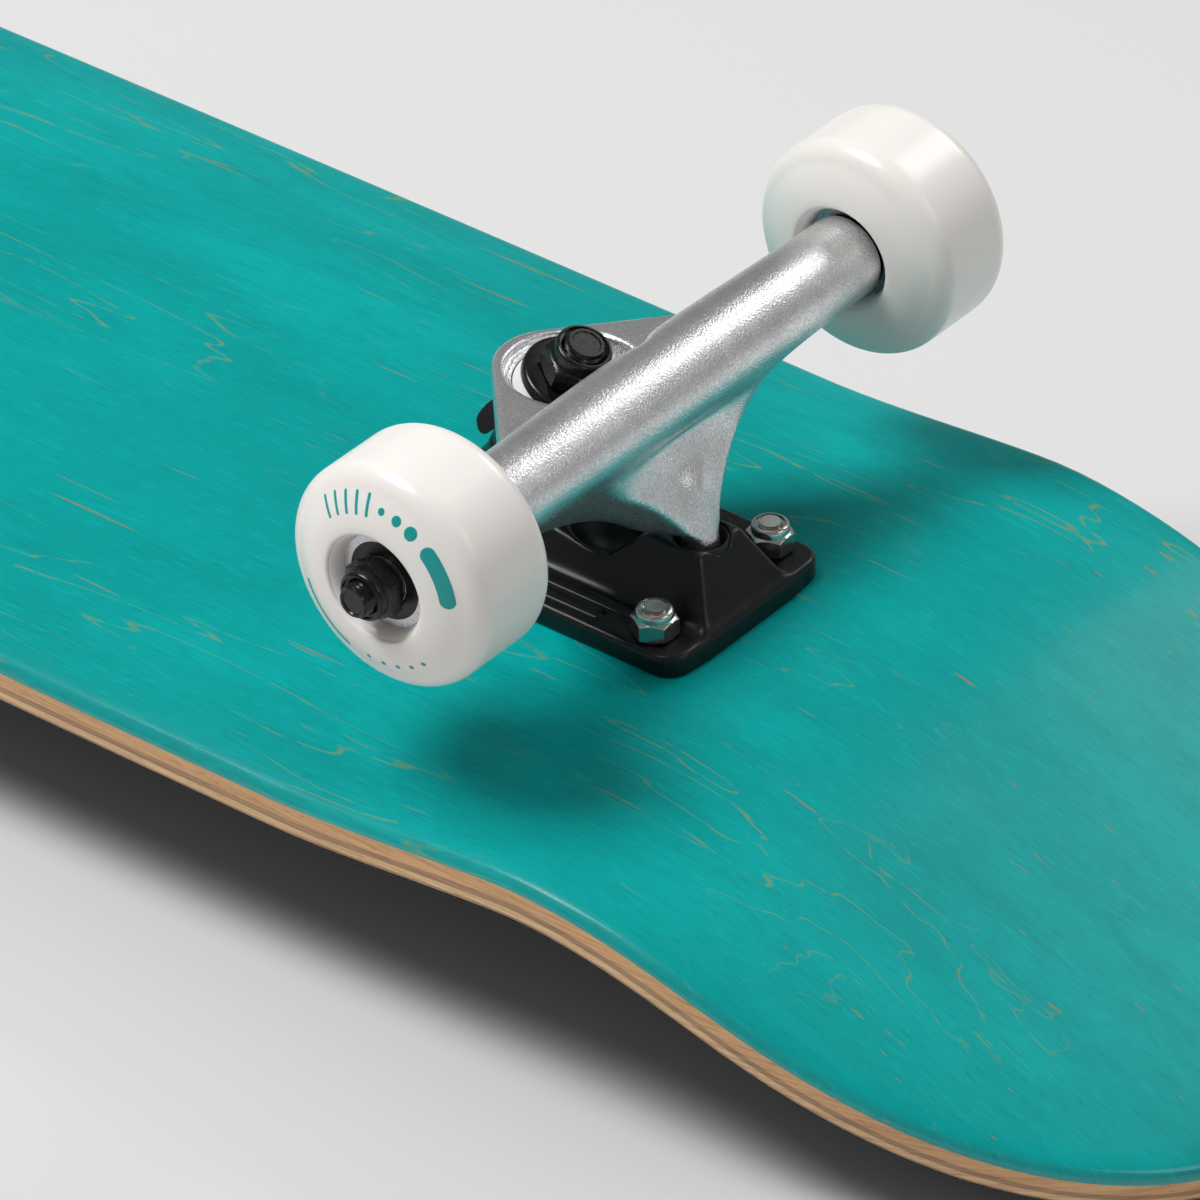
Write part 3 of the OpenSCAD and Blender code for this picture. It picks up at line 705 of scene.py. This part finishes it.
def baseplate_field(x, y, z):
    """Distance field of the base plate: flange, ribs, kingpin boss, side walls and pivot housing."""
    side = np.abs(y)
    from_pin, t = along_kingpin(x, y, z)
    corner = 6
    over_x = np.abs(x + 2.25) - 39.75 + corner
    over_y = side - PLATE_HALF_W + corner
    plan = np.hypot(np.maximum(over_x, 0), np.maximum(over_y, 0))
    plan = plan + np.minimum(np.maximum(over_x, over_y), 0) - corner
    flange = np.maximum(plan, z - FLANGE_T)
    # The walls dip between the kingpin boss and the pivot housing, and slope down to the flange's end
    top = np.interp(x, [-41, -35, -8, 6, 14, 28.9, 36.4, 40],
                    [10, 20, 13, 12, HOUSING_Z, HOUSING_Z, FLANGE_T, -1])
    walls = np.maximum((side - 15 + (z - 5) * 0.52) * 0.89, (z - top) * 0.8)
    walls = np.maximum(np.maximum(walls, -41 - x), x - 37.4)
    boss = np.maximum(np.maximum(from_pin - 11, t - SEAT_T), -41.5 - x)
    body = join(flange, join(walls, boss, 2), 2.2)
    from_bolt = np.hypot(np.abs(x) - BOLT_X / 2, side - BOLT_Y / 2)
    body = np.maximum(body, -np.maximum(from_bolt - 6.6, FLANGE_T + 0.2 - z))
    trough = 8 * (np.sqrt(((x - 0.5) / 11) ** 2 + (y / 10.5) ** 2 + ((z - 15) / 10.5) ** 2) - 1)
    body = softened(np.maximum(body, -trough), 4)
    rib_x = 3
    for rib_y, reach in ((18.0, 17), (22.4, 11)):
        run = np.clip(x - rib_x, -reach, reach - 1.5)
        rib = np.maximum(np.hypot(x - rib_x - run, side - rib_y) - 1.3, z - FLANGE_T - 1.0)
        body = join(body, rib, 0.7)
    nut_seat = np.maximum(from_bolt - 6.2, FLANGE_T - z)
    body = np.maximum(body, -nut_seat)
    kingpin = np.minimum(from_pin - KINGPIN_R, np.maximum(from_pin - 8.6, t - HEAD_TO))
    cup = np.maximum(np.hypot(x - PIVOT_X, y) - 6.42, 6 - z)
    body = cut(body, -np.minimum(np.minimum(from_bolt - BOLT_HOLE_R, kingpin), cup), 0.5)
    return np.maximum(body, -z)


# ---------------------------------------------------------------- truck hardware

def along_pin(t):
    """Matrix in the truck's frame with Z along the kingpin, at distance t from the deck."""
    return (Matrix.Translation((KINGPIN_X, 0, 0)) @ Matrix.Rotation(LEAN, 4, "Y")
            @ Matrix.Translation((0, 0, t)))


def at_axle(side, y=0.0):
    """Matrix in the truck's frame with Z along the axle, outwards on that side."""
    return Matrix.Translation((AXLE_X, side * y, AXLE_Z)) @ Matrix.Rotation(-side * math.pi / 2, 4, "X")


def cup_washer(outer, web, rim):
    """Pressed cup washer with a rolled rim."""
    bore = KINGPIN_R + 0.25
    outside = fillet(outer - 1.1, 1.1, 1.1, -90, 0) + fillet(outer - 0.55, web + rim - 0.55, 0.55, 0, 180, 7)
    inside = fillet(outer - 2.1, web + 0.9, 0.9, 0, -90)
    return turned([(bore + 0.2, 0)] + outside + inside + [(bore + 0.2, web), (bore, web - 0.2), (bore, 0.2)],
                  ring=True, segments=96)


def cone_bushing():
    """Cone bushing, with its seat at the bottom."""
    bore = KINGPIN_R + 0.15
    seat = fillet(11.4, 0.6, 0.6, -90, 0) + fillet(11.2, 2.7, 0.8, 0, 55)
    cone = fillet(9.2, 6.9, 0.7, 20, 90)
    return turned([(bore, 0)] + seat + cone + [(bore, 7.6)], ring=True, segments=96)


def barrel_bushing():
    """Barrel bushing, narrow in the cup of the lower washer."""
    bore = KINGPIN_R + 0.15
    foot = fillet(8.9, 0.6, 0.6, -90, 0) + [(9.5, 2.8), (9.9, 4.0), (10.9, 5.9)]
    outside = foot + [(11.2, 7.0)] + fillet(10.6, 10.4, 0.6, 0, 90)
    return turned([(bore, 0)] + outside + [(bore, 11)], ring=True, segments=96)


def kingpin_bolt():
    """Kingpin with its hexagon head in the base plate and a threaded end."""
    head = [(0, 4), (6.6, 4), (8.2, 4.9, "hex"), (8.2, HEAD_TO - 0.1, "hex"), (7.6, HEAD_TO, "hex")]
    shank = [(KINGPIN_R, HEAD_TO), (KINGPIN_R, 47.9)]
    thread = [(KINGPIN_R, 48 + i * 0.16, "thread") for i in range(79)]
    return turned(head + shank + thread + rod_tip(KINGPIN_R, KINGPIN_TO), 14.2, THREAD_PITCH)


def tyre_face(r):
    """Height of the wheel's outer face at radius r, from the middle of the wheel."""
    rise = np.clip((np.asarray(r, float) - FACE_FROM_R) / 8.05, 0, 1)
    return FACE_Z - 2.92 * rise + 0.5 * np.sin(math.pi * rise)


def tyre():
    """Wheel: bearing seats, hub mouths, crowned faces and rounded shoulders."""
    half = [(8.4, 0.05), (8.4, BEARING_FROM - 0.1), (8.6, BEARING_FROM), (BEARING_R - 0.1, BEARING_FROM)]
    half += [(BEARING_R, BEARING_FROM + 0.2), (BEARING_R, 12.0), (11.3, 12.9), (12.2, 15.2)]
    half += fillet(13.25, 15.25, 0.75, 175, 90, 6)
    half += [(r, float(tyre_face(r))) for r in np.linspace(FACE_FROM_R, FACE_TO_R, 10)]
    half += [(WHEEL_R - SHOULDER_R + SHOULDER_R * math.sin(a), TREAD_HALF + SHOULDER_W * math.cos(a))
             for a in np.radians(np.arange(20, 91, 7))]
    half += [(WHEEL_R, 7.2), (WHEEL_R, 3.6)]
    return turned(half + [(r, -z) for r, z in reversed(half)], ring=True, segments=144)


def ink_stroke(radius, angle, length, half, radial=False):
    """Printed stroke with round ends on the wheel's outer face, along an arc or along a radius."""
    quarter = np.linspace(0, math.pi / 2, 7)
    along = np.concatenate([-half * np.cos(quarter), np.linspace(0, length, 22)[1:-1],
                            length + half * np.sin(quarter)])
    over = np.maximum(np.maximum(-along, along - length), 0)
    reach = np.sqrt(np.maximum(half ** 2 - over ** 2, 0))
    across = np.linspace(-1, 1, 7)
    s, v = along[:, None], reach[:, None] * across
    r = radius + (s + 0 * v if radial else v + 0 * s)
    turn = math.radians(angle) + (v / r if radial else s / radius)
    top = np.stack([r * np.cos(turn), r * np.sin(turn), tyre_face(r) + 0.03], -1)
    low = top - [0, 0, 0.2]
    m, n = r.shape
    grid = [(i * n + j, (i + 1) * n + j, (i + 1) * n + j + 1, i * n + j + 1)
            for i in range(m - 1) for j in range(n - 1)]
    rim = [i * n for i in range(m)] + [(m - 1) * n + j for j in range(1, n)]
    rim += [i * n + n - 1 for i in range(m - 2, -1, -1)] + [j for j in range(n - 2, 0, -1)]
    walls = [(a, b, b + m * n, a + m * n) for a, b in zip(rim, rim[1:] + rim[:1])]
    under = [tuple(i + m * n for i in face[::-1]) for face in grid]
    return np.concatenate([top.reshape(-1, 3), low.reshape(-1, 3)]), grid + under + walls


def wheel_print():
    """Plain pattern of arcs, dots and ticks."""
    strokes = [ink_stroke(19.6, 12, 11, 1.7), ink_stroke(20.6, 200, 16, 0.55)]
    strokes += [ink_stroke(19.6, 61 + 12 * i, 0, 1.5 - 0.35 * i) for i in range(3)]
    strokes += [ink_stroke(17.6, a, 4.2, 0.38, True) for a in range(96, 141, 9)]
    strokes += [ink_stroke(19.2, a, 0, 0.55) for a in range(262, 311, 12)]
    return merged(strokes)


def build_truck(end_name):
    """All the pieces of one truck and its two wheels."""
    end = ENDS[end_name]
    base = on_truck(end)
    hanger_body = f"{end_name}_hanger_body"

    def put(name, shape, material, replaced, body="root", sharp=38):
        nodes = [f"{end_name}_{node}" for node in replaced]
        return add_piece(f"{end_name}_{name}", moved(shape, base), body, [material], nodes, sharp)

    put("hanger_casting", HANGER, "aluminium", ["hanger"], hanger_body, 60)
    put("baseplate_casting", BASEPLATE, "plate_black", ["baseplate"], sharp=50)
    put("kingpin_bolt", moved(kingpin_bolt(), along_pin(0)), "steel_black", ["kingpin"])
    pin_nut = lock_nut(14.3, 6.0, 9.4, KINGPIN_R, THREAD_PITCH)
    put("kingpin_lock_nut", moved(pin_nut, along_pin(PIN_NUT_FROM)),
        "steel_black", ["kingpin_nut"])
    flip = Matrix.Rotation(math.pi, 4, "X")
    put("upper_cup_washer", moved(cup_washer(11.3, CUP_WEB, 1.3), along_pin(PIN_NUT_FROM) @ flip),
        "steel_black", ["top_washer"])
    put("lower_cup_washer", moved(cup_washer(11, CUP_WEB, 2.8), along_pin(SEAT_T)),
        "steel_black", ["bottom_washer"])
    put("cone_bushing", moved(cone_bushing(), along_pin(RING_SEAT)),
        "bushing", ["top_bushing"])
    put("barrel_bushing", moved(barrel_bushing(), along_pin(SEAT_T + CUP_WEB)),
        "bushing", ["bottom_bushing"])
    half_axle = rod(AXLE_R, AXLE_HALF, THREAD_PITCH, 11)
    put("axle_rod", merged([moved(half_axle, at_axle(side)) for side in (-1, 1)]),
        "steel_black", ["axle"], hanger_body)
    axle_nut = lock_nut(12.7, 4.8, 7.3, AXLE_R, THREAD_PITCH)
    put("axle_lock_nuts", merged([moved(axle_nut, at_axle(side, AXLE_NUT_Y)) for side in (-1, 1)]),
        "steel_black", ["axle_nuts"], hanger_body)
    bolt_nut = lock_nut(9.53, 4.9, 7.1, BOLT_R, BOLT_PITCH)
    put("deck_bolt_nuts", merged([moved(bolt_nut, place @ Matrix.Translation((0, 0, FLANGE_T)))
                                  for place in bolt_places()]),
        "nickel", ["mounting_nuts"])
    for side_name, side in SIDES.items():
        wheel = f"{end_name}_{side_name}"
        hub = base @ at_axle(end * side, WHEEL_Y)
        add_piece(f"{wheel}_tyre", moved(tyre(), hub), f"{wheel}_wheel_body", ["wheel"],
                  [f"{wheel}_wheel"], 50)
        add_piece(f"{wheel}_print", moved(wheel_print(), hub), f"{wheel}_wheel_body", ["ink"],
                  [])


def finish_cad_nodes():
    """Materials for the CAD nodes that stay."""
    looks = {"bearing_inner_rings": "bearing_steel", "bearing_outer_rings": "bearing_steel",
             "bearing_shields": "shield", "bearing_balls": "bearing_steel", "bearing_cages": "cage",
             "speed_washers": "bearing_steel", "mounting_bolts": "nickel", "pivot_cup": "cup"}
    for name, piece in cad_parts.items():
        for ending, key in looks.items():
            if name.endswith(ending):
                piece.data.materials.clear()
                piece.data.materials.append(MATERIALS[key])


add_camera()
add_studio()
HANGER = casting((-34, -71, 6), (32, 71, 68), 0.5, hanger_field)
BASEPLATE = casting((-44, -30, -2), (40, 30, 31), 0.5, baseplate_field)
build_deck()
for truck_name in ENDS:
    build_truck(truck_name)
finish_cad_nodes()
